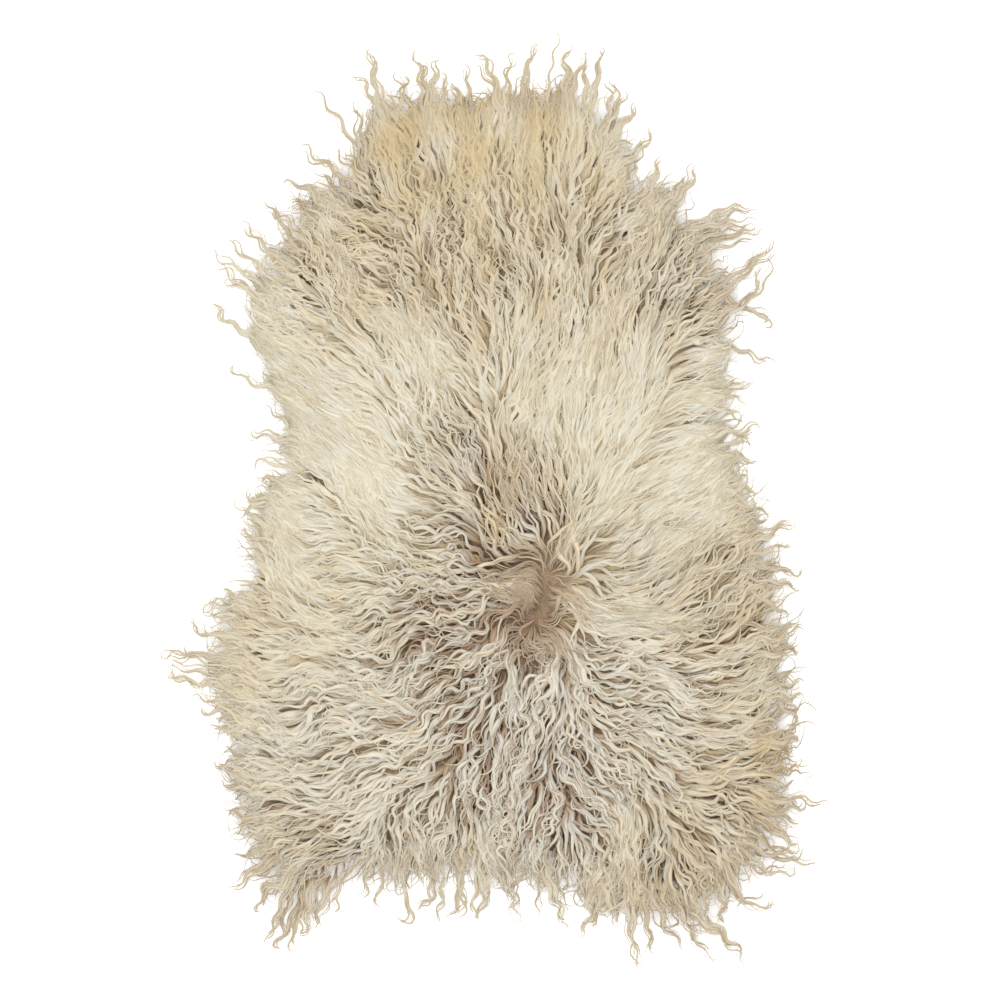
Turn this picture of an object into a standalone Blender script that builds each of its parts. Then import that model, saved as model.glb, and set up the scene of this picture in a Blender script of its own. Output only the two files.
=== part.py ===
"""A long-haired curly sheepskin rug, lying flat with its wool up: one natural piece, so one solid.

The solid is the skin with the room that its wool takes. The skin's flat underside lies on the
floor, the skin's edge stands one hide thickness high, and past it the fringe of wool overhangs
and droops to the floor in uneven pointed tufts. Over the skin the wool is a low crown, lumpy
with clumps, that dips at the whorl, near the middle, where the wool parts and lies away to all
sides.

Metres, +Z up, +Y towards the neck end, +X to the right of a viewer who looks down on the wool.
"""

import math

import bmesh
import bpy
from mathutils import Vector

# The skin and its wool, as they lie.
HIDE_THICKNESS = 0.002
CROWN_HEIGHT = 0.050
RIM_HEIGHT = 0.006
FRINGE_LIFT = 0.0008
SHOULDER_RUN = 0.150

# The whorl is a short parting where the pile dips.
WHORL_LOW = Vector((0.048, -0.160))
WHORL_HIGH = Vector((0.044, -0.070))
WHORL_DIP = 0.020
WHORL_SPREAD = 0.060

# Clumps of locks that run out from the whorl: their height, number round it and length.
CLUMP_HEIGHT = 0.0028
CLUMPS_ROUND = 17
CLUMP_LENGTH = 0.130

# The fringe's tufts: their number, how unevenly they stand, how far the weakest falls short of
# its full reach, how far they lean to one side and how much of the way in they still show.
TUFTS = 50
TUFT_JITTER = 0.28
WEAKEST_TUFT = 0.62
TUFT_LEAN = math.radians(1.6)
TUFT_FADE = 0.20
GAP_DEPTH = 0.010

# Points of one tuft along the rim: its gap, its flanks and its tip.
# place across the tuft, share of its reach
TUFT_SHAPE = ((0.0, 0.0), (0.26, 0.36), (0.50, 1.0), (0.74, 0.40))

# Rings of the pile, as shares of the way from the middle to the rim.
PILE_RINGS = (0.965, 0.925, 0.88, 0.82, 0.74, 0.65, 0.55, 0.44, 0.33, 0.22, 0.11)

# The outline round the skin's middle: where the skin ends, where the dense fleece ends and
# where the longest tufts of that stretch end. Angles run anticlockwise from +X.
# place, angle in degrees, skin reach, fleece reach, tuft reach
OUTLINE = (
    ("right waist", 0, 0.262, 0.310, 0.345),
    ("above right waist", 15, 0.236, 0.286, 0.338),
    ("below right shoulder", 27, 0.262, 0.322, 0.404),
    ("right shoulder", 40, 0.316, 0.374, 0.458),
    ("right foreleg", 49, 0.352, 0.422, 0.496),
    ("right of neck base", 58, 0.364, 0.420, 0.466),
    ("right of neck", 66, 0.378, 0.434, 0.486),
    ("right neck corner", 76, 0.438, 0.500, 0.574),
    ("neck end", 90, 0.422, 0.476, 0.540),
    ("left neck corner", 104, 0.440, 0.500, 0.578),
    ("left of neck", 114, 0.386, 0.438, 0.534),
    ("left of neck base", 125, 0.364, 0.422, 0.458),
    ("left foreleg", 138, 0.318, 0.376, 0.452),
    ("left shoulder", 147, 0.280, 0.330, 0.414),
    ("below left shoulder", 158, 0.226, 0.272, 0.310),
    ("left waist", 172, 0.212, 0.256, 0.290),
    ("below left waist", 183, 0.236, 0.284, 0.310),
    ("above left hip", 195, 0.268, 0.314, 0.352),
    ("left hip tuft", 205, 0.316, 0.370, 0.468),
    ("left hip", 218, 0.356, 0.406, 0.436),
    ("above left hind leg", 229, 0.414, 0.474, 0.510),
    ("left hind leg", 242, 0.470, 0.540, 0.606),
    ("left of tail", 254, 0.410, 0.466, 0.520),
    ("tail notch", 268, 0.386, 0.434, 0.506),
    ("right of tail", 282, 0.420, 0.476, 0.540),
    ("right hind leg", 296, 0.492, 0.562, 0.632),
    ("right hind leg outer", 305, 0.480, 0.546, 0.612),
    ("right hip tuft", 317, 0.436, 0.494, 0.580),
    ("right hip", 327, 0.378, 0.424, 0.470),
    ("above right hip", 341, 0.326, 0.370, 0.404),
    ("right flank", 351, 0.292, 0.340, 0.376),
)
ANGLE, SKIN, FLEECE, TIP = 1, 2, 3, 4

WOOL_COLOUR = (0.71, 0.62, 0.47, 1.0)
WOOL_ROUGHNESS = 0.92


def clear_scene():
    for old in list(bpy.data.objects):
        bpy.data.objects.remove(old)


def mix(low, high, share):
    return low + (high - low) * share


def smooth(share):
    share = min(max(share, 0.0), 1.0)
    return share * share * (3 - 2 * share)


def at(angle, reach, height):
    return Vector((reach * math.cos(angle), reach * math.sin(angle), height))


def reach_of(column, angle):
    """That column of the outline at this angle, on one smooth curve round the rug."""
    degrees = math.degrees(angle) % 360
    rows = len(OUTLINE)
    row = max(i for i in range(rows) if OUTLINE[i][ANGLE] <= degrees)
    start = OUTLINE[row][ANGLE]
    span = (OUTLINE[(row + 1) % rows][ANGLE] - start) % 360
    share = (degrees - start) / span
    before, here, after, beyond = (OUTLINE[(row + k) % rows][column] for k in (-1, 0, 1, 2))
    bend = 2 * before - 5 * here + 4 * after - beyond
    twist = 3 * (here - after) + beyond - before
    return here + 0.5 * share * (after - before + share * (bend + share * twist))


def uneven(number):
    """A value between -1 and 1 that looks haphazard from one tuft to the next."""
    return math.sin(2.4 * number + 0.6) * math.cos(1.1 * number)


class Spoke:
    """One line of the solid from the middle out to a point of the rim."""

    def __init__(self, tuft, place, share):
        start = tuft + TUFT_JITTER * uneven(tuft)
        end = tuft + 1 + TUFT_JITTER * uneven((tuft + 1) % TUFTS)
        self.angle = math.tau * mix(start, end, place) / TUFTS
        self.rim_angle = self.angle + TUFT_LEAN * share * uneven(tuft + 20)
        self.skin = reach_of(SKIN, self.angle)
        self.fleece = reach_of(FLEECE, self.angle)
        strength = mix(WEAKEST_TUFT, 1.0, 0.5 + 0.5 * uneven(tuft + 7))
        gap = self.fleece - GAP_DEPTH
        self.rim = mix(gap, reach_of(TIP, self.rim_angle), share * strength)

    def rim_at(self, height):
        return at(self.rim_angle, self.rim, height)

    def pile_at(self, share):
        """A point of the top of the wool, this share of the way from the middle to the rim."""
        tufted = smooth(1 - (1 - share) / TUFT_FADE)
        angle = mix(self.angle, self.rim_angle, tufted)
        point = at(angle, share * mix(self.fleece, self.rim, tufted), 0.0)
        point.z = pile_height(point.to_2d(), (1 - share) * self.fleece)
        return point


def whorl_distance(place):
    along = WHORL_HIGH - WHORL_LOW
    share = (place - WHORL_LOW).dot(along) / along.length_squared
    nearest = WHORL_LOW + along * min(max(share, 0.0), 1.0)
    return (place - nearest).length


def pile_height(place, inside):
    """The top of the wool at this place, which lies this far inside the rim."""
    rise = math.sin(0.5 * math.pi * min(inside / SHOULDER_RUN, 1.0))
    away = whorl_distance(place)
    dip = WHORL_DIP * math.exp(-((away / WHORL_SPREAD) ** 2))
    round_whorl = math.atan2(place.y - WHORL_HIGH.y, place.x - WHORL_HIGH.x)
    swing = 1.8 * math.sin(away / CLUMP_LENGTH * math.tau)
    lump = CLUMP_HEIGHT * math.sin(CLUMPS_ROUND * round_whorl + swing)
    return mix(RIM_HEIGHT, CROWN_HEIGHT, rise) + lump * rise * smooth(away / CLUMP_LENGTH) - dip


def extrude_ring(mesh, ring, place):
    """Extrudes a closed ring of edges and puts each new point where place says for its spoke."""
    spoke = mesh.verts.layers.int["spoke"]
    made = bmesh.ops.extrude_edge_only(mesh, edges=ring)["geom"]
    for vertex in (part for part in made if isinstance(part, bmesh.types.BMVert)):
        vertex.co = place(vertex[spoke])
    return [part for part in made if isinstance(part, bmesh.types.BMEdge)]


def skin_underside(mesh, spokes):
    """The flat face that the rug lies on, each of its points marked with its spoke."""
    layer = mesh.verts.layers.int.new("spoke")
    bmesh.ops.create_circle(mesh, cap_ends=True, segments=len(spokes), radius=1.0)
    for number, vertex in enumerate(mesh.verts):
        vertex[layer] = number
        vertex.co = at(spokes[number].angle, spokes[number].skin, 0.0)
    return list(mesh.edges)


def sheepskin_mesh():
    spokes = [Spoke(tuft, *shape) for tuft in range(TUFTS) for shape in TUFT_SHAPE]
    mesh = bmesh.new()
    ring = skin_underside(mesh, spokes)
    ring = extrude_ring(mesh, ring, lambda n: at(spokes[n].angle, spokes[n].skin, HIDE_THICKNESS))
    ring = extrude_ring(mesh, ring, lambda n: spokes[n].rim_at(FRINGE_LIFT))
    ring = extrude_ring(mesh, ring, lambda n: spokes[n].rim_at(RIM_HEIGHT))
    for share in PILE_RINGS:
        ring = extrude_ring(mesh, ring, lambda n, share=share: spokes[n].pile_at(share))
    middle = at(0.0, 0.0, pile_height(Vector((0.0, 0.0)), SHOULDER_RUN))
    ring = extrude_ring(mesh, ring, lambda n: middle)
    bmesh.ops.remove_doubles(mesh, verts=list({v for edge in ring for v in edge.verts}), dist=1e-5)
    bmesh.ops.recalc_face_normals(mesh, faces=mesh.faces)
    return mesh


def centre_on_box(mesh):
    """Moves the rug so that the middle of its box is over the origin."""
    xs = [vertex.co.x for vertex in mesh.verts]
    ys = [vertex.co.y for vertex in mesh.verts]
    shift = Vector((-(min(xs) + max(xs)) / 2, -(min(ys) + max(ys)) / 2, 0.0))
    bmesh.ops.translate(mesh, verts=mesh.verts, vec=shift)


def wool_material():
    material = bpy.data.materials.new("cream_wool")
    material.use_nodes = True
    shader = material.node_tree.nodes["Principled BSDF"]
    shader.inputs["Base Color"].default_value = WOOL_COLOUR
    shader.inputs["Roughness"].default_value = WOOL_ROUGHNESS
    shader.inputs["Metallic"].default_value = 0.0
    return material


def build_sheepskin():
    mesh = sheepskin_mesh()
    centre_on_box(mesh)
    data = bpy.data.meshes.new("sheepskin")
    mesh.to_mesh(data)
    mesh.free()
    data.materials.append(wool_material())
    data.shade_smooth()
    sheepskin = bpy.data.objects.new("sheepskin", data)
    bpy.context.scene.collection.objects.link(sheepskin)


def main():
    clear_scene()
    build_sheepskin()


main()
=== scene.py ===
"""The looks of a long-haired curly sheepskin rug, seen from straight above on a pale floor.

The tanned skin lies flat. On it stand a soft brown underwool, broad soft bundles of wool and,
over them, thousands of thin crimped locks that part at a whorl near the middle and lie away to
all sides, past the skin's edge, where they droop to the floor in curly tufts.

Metres, +Z up, +Y towards the neck end, +X to the right of a viewer who looks down on the wool.
"""

import math
from dataclasses import dataclass, replace

import bmesh
import bpy
import numpy as np
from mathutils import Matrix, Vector
from mathutils.bvhtree import BVHTree


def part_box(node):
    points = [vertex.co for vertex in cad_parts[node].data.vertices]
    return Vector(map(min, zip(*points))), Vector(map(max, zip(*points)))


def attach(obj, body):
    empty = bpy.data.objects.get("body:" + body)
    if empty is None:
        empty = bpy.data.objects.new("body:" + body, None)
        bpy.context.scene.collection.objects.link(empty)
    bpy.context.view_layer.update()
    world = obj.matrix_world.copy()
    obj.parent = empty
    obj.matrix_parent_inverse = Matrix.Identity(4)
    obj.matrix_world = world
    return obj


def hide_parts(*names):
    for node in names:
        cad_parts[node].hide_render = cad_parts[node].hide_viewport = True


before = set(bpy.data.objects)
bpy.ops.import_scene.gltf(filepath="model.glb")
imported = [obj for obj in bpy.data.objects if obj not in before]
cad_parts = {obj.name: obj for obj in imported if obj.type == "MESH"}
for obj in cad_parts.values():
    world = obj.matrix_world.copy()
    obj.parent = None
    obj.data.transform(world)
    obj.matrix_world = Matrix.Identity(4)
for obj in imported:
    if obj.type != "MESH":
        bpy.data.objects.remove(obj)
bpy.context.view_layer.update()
skin_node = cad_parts["sheepskin"]
dice = np.random.default_rng(7)

MM = 0.001

# Nothing is divided by less than this.
TINY = 1e-9

# The whorl is a short parting: its two ends. Below it a faint seam runs on to its foot.
# No white lock starts closer to them than this.
WHORL_LOW = np.array((0.054, -0.124))
WHORL_HIGH = np.array((0.067, -0.088))
SEAM_FOOT = np.array((0.048, -0.162))
PARTING_CLEAR = 15 * MM

HIDE_THICKNESS = 2 * MM

# The fleece differs from place to place. Gold is how golden its tips are, brown how dark and
# bare the underwool is, wave the swing of its crimp, bold the thickness of its locks, loose how
# far they stray, and turn how many degrees they lie off the way straight out from the whorl.
# place, x, y, reach, gold, brown, wave, bold, loose, turn
ZONES = (
    ("whorl", 0.060, -0.100, 0.028, 0.30, 0.60, 0.50, 1.00, 0.5, 12),
    ("left of the whorl", 0.018, -0.110, 0.038, 0.25, 1.00, 0.95, 1.15, 0.7, 42),
    ("above the whorl", 0.030, 0.015, 0.055, 0.58, 1.00, 0.52, 0.90, 0.7, 6),
    ("brown patch up left", -0.040, 0.060, 0.050, 0.26, 0.78, 0.65, 1.05, 0.8, -2),
    ("foot of the parting", 0.040, -0.180, 0.040, 0.10, 0.70, 0.80, 1.20, 0.7, -16),
    ("lower middle", 0.045, -0.285, 0.075, 0.05, 1.00, 0.82, 1.18, 0.9, -8),
    ("low down", 0.035, -0.375, 0.060, 0.10, 0.90, 0.80, 1.12, 0.9, 7),
    ("left of the middle", -0.060, -0.120, 0.060, 0.30, 1.00, 0.80, 1.00, 0.9, 15),
    ("left side", -0.170, -0.070, 0.075, 0.20, 0.25, 0.50, 0.90, 0.6, -4),
    ("left waist", -0.180, 0.050, 0.090, 0.10, 0.05, 0.30, 0.90, 0.4, -14),
    ("above left waist", -0.105, 0.155, 0.050, 0.15, 0.25, 0.40, 0.95, 0.5, 14),
    ("left flank", -0.265, -0.120, 0.060, 0.32, 0.25, 0.55, 0.90, 0.7, -23),
    ("left hip", -0.310, -0.200, 0.050, 0.38, 0.18, 0.60, 0.90, 0.7, -10),
    ("lower left", -0.190, -0.310, 0.085, 0.10, 0.50, 0.55, 1.10, 0.7, -26),
    ("left hind leg", -0.250, -0.430, 0.070, 0.36, 0.82, 0.75, 1.05, 0.9, -28),
    ("tail", -0.030, -0.430, 0.060, 0.15, 0.55, 0.70, 1.10, 0.7, 8),
    ("right of the whorl", 0.122, -0.078, 0.055, 0.25, 0.42, 0.26, 0.85, 0.5, 12),
    ("right waist", 0.190, 0.080, 0.090, 0.15, 0.10, 0.30, 0.90, 0.4, 1),
    ("right flank", 0.285, -0.120, 0.060, 0.48, 0.64, 0.60, 0.85, 0.7, 42),
    ("lower right", 0.205, -0.260, 0.085, 0.12, 0.58, 0.55, 1.10, 0.7, 28),
    ("right hip", 0.305, -0.300, 0.050, 0.65, 0.60, 0.60, 0.95, 0.8, 42),
    ("right hind leg", 0.270, -0.420, 0.070, 0.48, 0.66, 0.70, 1.00, 0.9, -10),
    ("between shoulders", 0.025, 0.150, 0.070, 0.28, 0.22, 0.45, 0.95, 0.5, -14),
    ("upper curls", -0.050, 0.280, 0.080, 0.54, 0.58, 0.92, 0.98, 1.1, 6),
    ("upper left", -0.190, 0.280, 0.070, 0.45, 0.45, 0.75, 1.00, 0.8, 12),
    ("upper right", 0.130, 0.255, 0.080, 0.40, 0.50, 0.60, 1.00, 0.7, 0),
    ("right shoulder", 0.245, 0.255, 0.050, 0.30, 0.80, 0.80, 1.00, 0.9, 6),
    ("left shoulder", -0.270, 0.240, 0.050, 0.00, 0.02, 0.70, 0.90, 0.8, -34),
    ("left of neck", -0.090, 0.400, 0.050, 0.78, 0.32, 0.36, 1.05, 0.6, -12),
    ("neck", 0.010, 0.430, 0.075, 0.70, 0.28, 0.34, 1.05, 0.6, 4),
    ("right of neck", 0.150, 0.430, 0.045, 0.36, 0.15, 0.40, 1.05, 0.6, 0),
)
ZONE_FIELDS = ("gold", "brown", "wave", "bold", "loose", "turn")
ZONE_TABLE = np.array([row[1:] for row in ZONES])
PLACE_COLUMNS = 3

# The average of all zones counts everywhere with this weight, and far from all of them alone.
FAR_WEIGHT = 0.02
LEAST_WEIGHT = 1e-6

# The longest tufts of the fringe. Each runs from the fleece's edge to its tip, in millimetres.
# Bow is how far it bulges to its left, hook how many degrees its tip turns to the left.
# edge x, edge y, tip x, tip y, bow, hook, width
TUFTS = (
    # round the neck, from left to right
    (-176, 386, -234, 432, 0, 10, 6),
    (-163, 432, -224, 504, -4, 0, 5),
    (-169, 370, -209, 397, 4, 0, 5),
    (-151, 382, -183, 427, 0, 10, 7),
    (-154, 424, -163, 484, 0, 0, 10),
    (-137, 454, -167, 522, -5, 25, 9),
    (-127, 462, -149, 550, 3, 15, 14),
    (-111, 469, -99, 524, 4, 40, 6),
    (-95, 470, -112, 520, 2, -20, 5),
    (-77, 469, -91, 548, 0, 20, 11),
    (-71, 478, -62, 535, 0, -30, 7),
    (-57, 478, -59, 520, -6, 35, 5),
    (-42, 476, -46, 508, 3, 20, 6),
    (-27, 474, -32, 532, 0, 20, 9),
    (5, 474, -20, 546, -6, 25, 10),
    (19, 484, 34, 540, 5, -50, 9),
    (44, 484, 57, 556, 4, -25, 10),
    (67, 478, 83, 568, 4, 0, 5),
    (91, 490, 97, 553, 0, 0, 10),
    (98, 502, 118, 546, 3, 0, 7),
    (121, 490, 133, 553, 0, 20, 10),
    (115, 490, 119, 532, 0, 0, 6),
    (137, 460, 141, 520, 0, 20, 6),
    (141, 460, 148, 516, 0, 40, 5),
    (137, 454, 166, 499, 0, 25, 8),
    (146, 442, 175, 481, 0, 10, 10),
    (155, 409, 195, 450, -6, 10, 12),
    (146, 418, 171, 434, 3, 0, 5),
    (191, 382, 207, 421, 0, 30, 7),
    # the right shoulder
    (213, 358, 248, 409, -4, 0, 13),
    (218, 364, 237, 397, 0, 0, 6),
    (257, 330, 326, 356, 8, -10, 16),
    (251, 322, 320, 337, 3, 0, 14),
    (278, 320, 328, 331, 3, 40, 7),
    (275, 304, 319, 319, -3, 0, 4),
    (273, 256, 345, 320, -3, 0, 10),
    (269, 238, 339, 304, 0, -10, 6),
    (278, 229, 335, 294, -10, 30, 10),
    (293, 238, 337, 206, 12, -80, 6),
    (269, 190, 347, 167, 5, 30, 9),
    # the right waist and flank
    (266, 132, 319, 148, -8, -70, 12),
    (278, 127, 310, 118, 0, 0, 5),
    (266, 112, 304, 96, 5, -20, 4),
    (266, 85, 328, 89, 0, -20, 10),
    (269, 67, 321, 68, 7, -25, 6),
    (278, 61, 321, 48, 3, 0, 10),
    (285, 22, 311, 32, 0, -30, 5),
    (293, 13, 320, 13, 3, 0, 6),
    (309, -2, 335, -17, 0, 60, 7),
    (311, -44, 368, -24, 0, -20, 13),
    (329, -56, 370, -47, 3, 20, 6),
    (329, -74, 373, -80, -3, 40, 8),
    (329, -95, 371, -102, 3, 20, 8),
    (335, -122, 359, -136, 0, 0, 5),
    (329, -152, 358, -163, 3, 0, 6),
    (329, -182, 375, -180, 0, 10, 11),
    (335, -218, 379, -217, 3, 0, 9),
    (341, -230, 377, -236, 0, 0, 8),
    (347, -236, 364, -274, 10, -60, 6),
    (329, -278, 369, -268, -4, 60, 8),
    (341, -284, 373, -289, 3, -60, 6),
    (341, -290, 364, -305, 0, 0, 6),
    (341, -316, 376, -306, 0, 10, 5),
    # the right hip and hind leg
    (341, -330, 369, -336, 0, 0, 5),
    (338, -353, 409, -361, 5, -20, 8),
    (329, -360, 379, -360, -3, 30, 11),
    (338, -371, 377, -388, 0, 0, 7),
    (338, -386, 374, -410, 0, 30, 8),
    (302, -395, 382, -415, -9, 50, 14),
    (353, -426, 405, -436, 3, 20, 3),
    (293, -416, 371, -436, -16, 40, 11),
    (273, -434, 346, -481, -20, 45, 12),
    (273, -450, 281, -516, 5, -10, 9),
    (245, -494, 310, -554, 3, -10, 11),
    (230, -476, 273, -553, -4, 30, 14),
    (201, -482, 233, -542, -6, 0, 10),
    (188, -494, 197, -546, 0, 40, 6),
    (167, -482, 179, -564, -3, 30, 10),
    # the tail, from right to left
    (143, -476, 155, -512, 0, 0, 9),
    (129, -470, 117, -517, 0, -40, 8),
    (113, -458, 110, -522, 6, -30, 14),
    (69, -452, 92, -515, 0, -20, 12),
    (57, -462, 57, -508, 0, 0, 5),
    (38, -452, 20, -486, 0, 40, 5),
    (7, -438, 29, -503, 3, -60, 10),
    (-11, -431, -15, -506, 8, -10, 13),
    (-15, -452, -22, -505, 0, 0, 6),
    (-43, -440, -37, -506, 0, -30, 9),
    (-39, -450, -52, -500, 6, 0, 6),
    (-59, -452, -61, -505, 0, -40, 8),
    (-73, -443, -91, -498, 8, -35, 11),
    (-106, -452, -110, -504, 14, -50, 8),
    (-128, -458, -133, -493, 0, 0, 5),
    (-149, -452, -155, -481, 0, 20, 4),
    (-181, -464, -187, -494, 0, 0, 5),
    # the left hind leg
    (-199, -476, -212, -515, 0, -40, 6),
    (-214, -470, -230, -522, 0, -20, 13),
    (-229, -494, -236, -539, -5, 40, 9),
    (-241, -494, -254, -541, 0, 50, 9),
    (-243, -468, -274, -535, 0, 0, 11),
    (-247, -448, -279, -493, -14, 50, 10),
    (-271, -431, -315, -463, 0, 0, 10),
    (-274, -414, -311, -422, 0, 40, 9),
    (-274, -392, -316, -397, 0, 60, 9),
    (-283, -380, -317, -374, 0, 90, 7),
    (-295, -344, -326, -336, 0, -20, 9),
    (-301, -326, -333, -311, 0, -40, 11),
    # the left hip and waist
    (-319, -248, -351, -240, 5, 0, 5),
    (-331, -239, -367, -228, 0, 0, 5),
    (-325, -215, -395, -198, 10, -15, 10),
    (-327, -203, -405, -192, 0, 10, 9),
    (-322, -191, -404, -187, -5, 25, 10),
    (-332, -182, -371, -172, 0, 0, 5),
    (-315, -158, -368, -136, 9, -20, 9),
    (-310, -122, -349, -128, -5, -20, 8),
    (-301, -113, -322, -101, 4, 0, 7),
    (-274, -44, -305, -35, 0, 30, 7),
    (-265, 0, -307, -20, -3, -15, 6),
    (-259, 1, -293, 16, 7, -60, 6),
    (-253, 28, -281, 24, 0, 20, 6),
    (-241, 42, -291, 40, -8, 30, 5),
    (-241, 80, -298, 91, 4, -30, 7),
    (-241, 88, -274, 124, -4, 0, 4),
    (-255, 140, -313, 170, 9, -35, 9),
    # the left shoulder
    (-279, 196, -343, 247, 8, -10, 15),
    (-274, 248, -321, 270, -5, -60, 9),
    (-279, 244, -334, 287, 6, 50, 8),
    (-271, 262, -333, 308, -4, -40, 8),
    (-267, 270, -323, 326, 0, 0, 9),
    (-247, 289, -304, 341, 0, 0, 13),
    (-244, 316, -275, 364, -3, 0, 9),
    (-229, 322, -265, 361, 0, 0, 10),
    (-207, 337, -243, 368, 0, 30, 9),
    (-202, 358, -249, 384, -10, 40, 9),
)
TUFT_TABLE = np.array(TUFTS, dtype=float)
TUFT_EDGES = TUFT_TABLE[:, :2] * MM
TUFT_TIPS = TUFT_TABLE[:, 2:4] * MM
TUFT_BOWS = TUFT_TABLE[:, 4] * MM
TUFT_HOOKS = np.radians(TUFT_TABLE[:, 5])
TUFT_WIDTHS = TUFT_TABLE[:, 6] * MM


@dataclass
class Style:
    """How the strands of one piece grow and look. A strand has this many points."""

    points: int
    length: float
    width: float
    # How deep in the pile a strand may lie, and how far above its top it is held.
    sink: float
    lift: float = 0.0
    # How far it swings to both sides, strays off its way and curls at its tip.
    swing: float = 1.0
    stray: float = 1.0
    curl: float = 1.0
    # How far a clump's strands draw together towards their tips.
    close: float = 0.6
    # Its thickness as a share of its width, and the shares of its length over which it swells
    # at its root and tapers to its tip.
    flat: float = 0.5
    swell: float = 0.3
    taper: float = 0.5
    # How far past the dense fleece it may reach, and how strongly the tufts draw it in.
    over: float = 0.0
    pull: float = 0.8
    # How much fewer and narrower the strands are where the wool is brown, and how much broader
    # where it is silky.
    thin: float = 0.0
    slim: float = 0.0
    silk: float = 0.0
    # How far neighbours differ, and how far one clump's tone and waves differ from the next's.
    unruly: float = 1.0
    patch: float = 0.0


STYLES = {
    "soft_bundles": Style(
        points=11, length=92 * MM, width=12 * MM, sink=3.0 * MM, lift=-3.5 * MM, swing=0.7,
        curl=0.4, flat=0.12, taper=0.75, over=17 * MM, thin=0.6, slim=0.6,
    ),
    "inner_fibres": Style(
        points=12, length=66 * MM, width=4.4 * MM, sink=2.0 * MM, lift=-2.0 * MM, swing=0.9,
        curl=0.5, flat=0.22, taper=0.7, pull=0.0,
    ),
    "silky_locks": Style(
        points=12, length=98 * MM, width=4.1 * MM, sink=2.4 * MM, lift=0.2 * MM, close=0.5,
        flat=0.24, over=14 * MM, thin=0.3, silk=0.3,
    ),
    "locks": Style(
        points=19, length=95 * MM, width=4.6 * MM, sink=3.2 * MM, lift=0.3 * MM, swing=0.95,
        flat=0.28, over=14 * MM, thin=0.5, silk=0.5,
    ),
    "covering_locks": Style(
        points=15, length=92 * MM, width=4.4 * MM, sink=3.0 * MM, swing=0.95, flat=0.28,
        over=14 * MM, thin=0.45, silk=0.4,
    ),
    "fringe": Style(
        points=17, length=105 * MM, width=2.8 * MM, sink=3.0 * MM, swing=1.1, curl=1.3,
        taper=0.8, over=38 * MM, pull=0.6,
    ),
    "edge_fuzz": Style(
        points=9, length=62 * MM, width=0.6 * MM, sink=4.0 * MM, swing=0.7, stray=1.5,
        over=26 * MM, pull=0.4,
    ),
    "arching_hairs": Style(
        points=22, length=120 * MM, width=1.3 * MM, sink=0.2 * MM, lift=3.0 * MM, swing=0.15,
        stray=3.5, curl=2.2, pull=0.0,
    ),
    "stray_hairs": Style(
        points=15, length=105 * MM, width=1.2 * MM, sink=1.0 * MM, lift=1.2 * MM, swing=0.8,
        stray=2.2, curl=1.6, over=30 * MM, pull=0.3,
    ),
    "parting_fibres": Style(
        points=17, length=62 * MM, width=2.2 * MM, sink=4.0 * MM, lift=0.4 * MM, swing=1.15,
        curl=0.5, close=0.3, flat=0.6, swell=0.2, taper=0.6, pull=0.0, unruly=0.15, patch=1.4,
    ),
}

# Kinds of wool. Their colours are those of the root, of the root where the wool is brown, of
# the strand, of the strand where the wool is brown, of the tip, and of what sun and weather
# turn golden. Streak is how many millimetres wide one bundle of fibres in a strand shows, and
# side shade how strongly painted shade, in tan, darkens the strand's sides.
# name, root, brown root, body, brown body, tip, gold, streak, side shade
WOOLS = (
    ("crimped_wool", "#C2B694", "#937251", "#D5D3C6", "#D0CEC5", "#D2CEBB", "#C3B089", 1.0, 0.35),
    ("weathered_tufts", "#C9C0A8", "#A68E71", "#D4CFBE", "#D1CAB8", "#CBC2A9", "#B8A179", 1.0, 0.3),
    ("soft_inner_wool", "#C0B18F", "#866A50", "#CEC5AC", "#998069", "#CBC3AE", "#BDAA85", 1.4, 0.3),
    ("brown_inner_wool", "#BDAD90", "#806853", "#C8BCA3", "#998472", "#B5A189", "#AD9A7D", 1.0, 0.5),
    ("parting_wool", "#B8A793", "#89745F", "#CBC0AE", "#AD9884", "#CDC2B0", "#BCAA8C", 1.0, 0.65),
)

# Sectors of the crimped locks round the whorl, in degrees anticlockwise from +X.
# piece, start, end
LOCK_SECTORS = (
    ("locks_right", -45, 92),
    ("locks_neck", 92, 130),
    ("locks_left", 130, 250),
    ("locks_tail", 250, 315),
)

# The smooth haphazard drifts of the fleece. The parting sways to both sides, and the lie
# wanders by an angle in radians: slowly all over, quickly where the wool is loose, and near the
# parting. Waves drift in length, from clump to clump and on the way along a strand, and so do
# their swing, the reach of the fringe, the gold, the underwool's lumps and its fibres.
# drift: strength, size, seed
DRIFTS = {
    "slow lie": (0.28, 60 * MM, 3),
    "loose lie": (0.16, 22 * MM, 4),
    "sway across": (7 * MM, 28 * MM, 5),
    "sway along": (7 * MM, 28 * MM, 6),
    "lie near parting": (0.5, 26 * MM, 8),
    "pitch": (0.14, 35 * MM, 9),
    "clump phase": (1.2 * math.pi, 45 * MM, 11),
    "fringe": (11 * MM, 26 * MM, 17),
    "lumps": (1.6 * MM, 14 * MM, 21),
    "fine lumps": (1 * MM, 6 * MM, 22),
    "underwool fibres": (0.12, 15 * MM, 24),
    "phase": (1.1, 30 * MM, 31),
    "swing": (0.4, 22 * MM, 32),
    "gold": (0.3, 26 * MM, 41),
}


# ---------------------------------------------------------------- the lie of the fleece

# A drift is the sum of some waves, as long as these multiples of its size, and this brings
# the sum back to about -1 to 1.
DRIFT_WAVES = 6
DRIFT_LENGTHS = (1.6, 3.6)
DRIFT_LEVEL = 2.4

# In the solid the fringe's gaps and tips lie this high, give or take a little, and the fleece
# fills its gaps by this.
FRINGE_LIFT = 0.8 * MM
RING_SLACK = 0.1 * MM
GAP_FILL = 8 * MM

# The way out over the edge is taken over this angle to both sides, in radians.
EDGE_STEP = 0.12

# Within this band the wool turns to lie straight out over the edge, at the edge this much.
EDGE_BAND = 85 * MM
EDGE_TURN = 0.55

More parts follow.
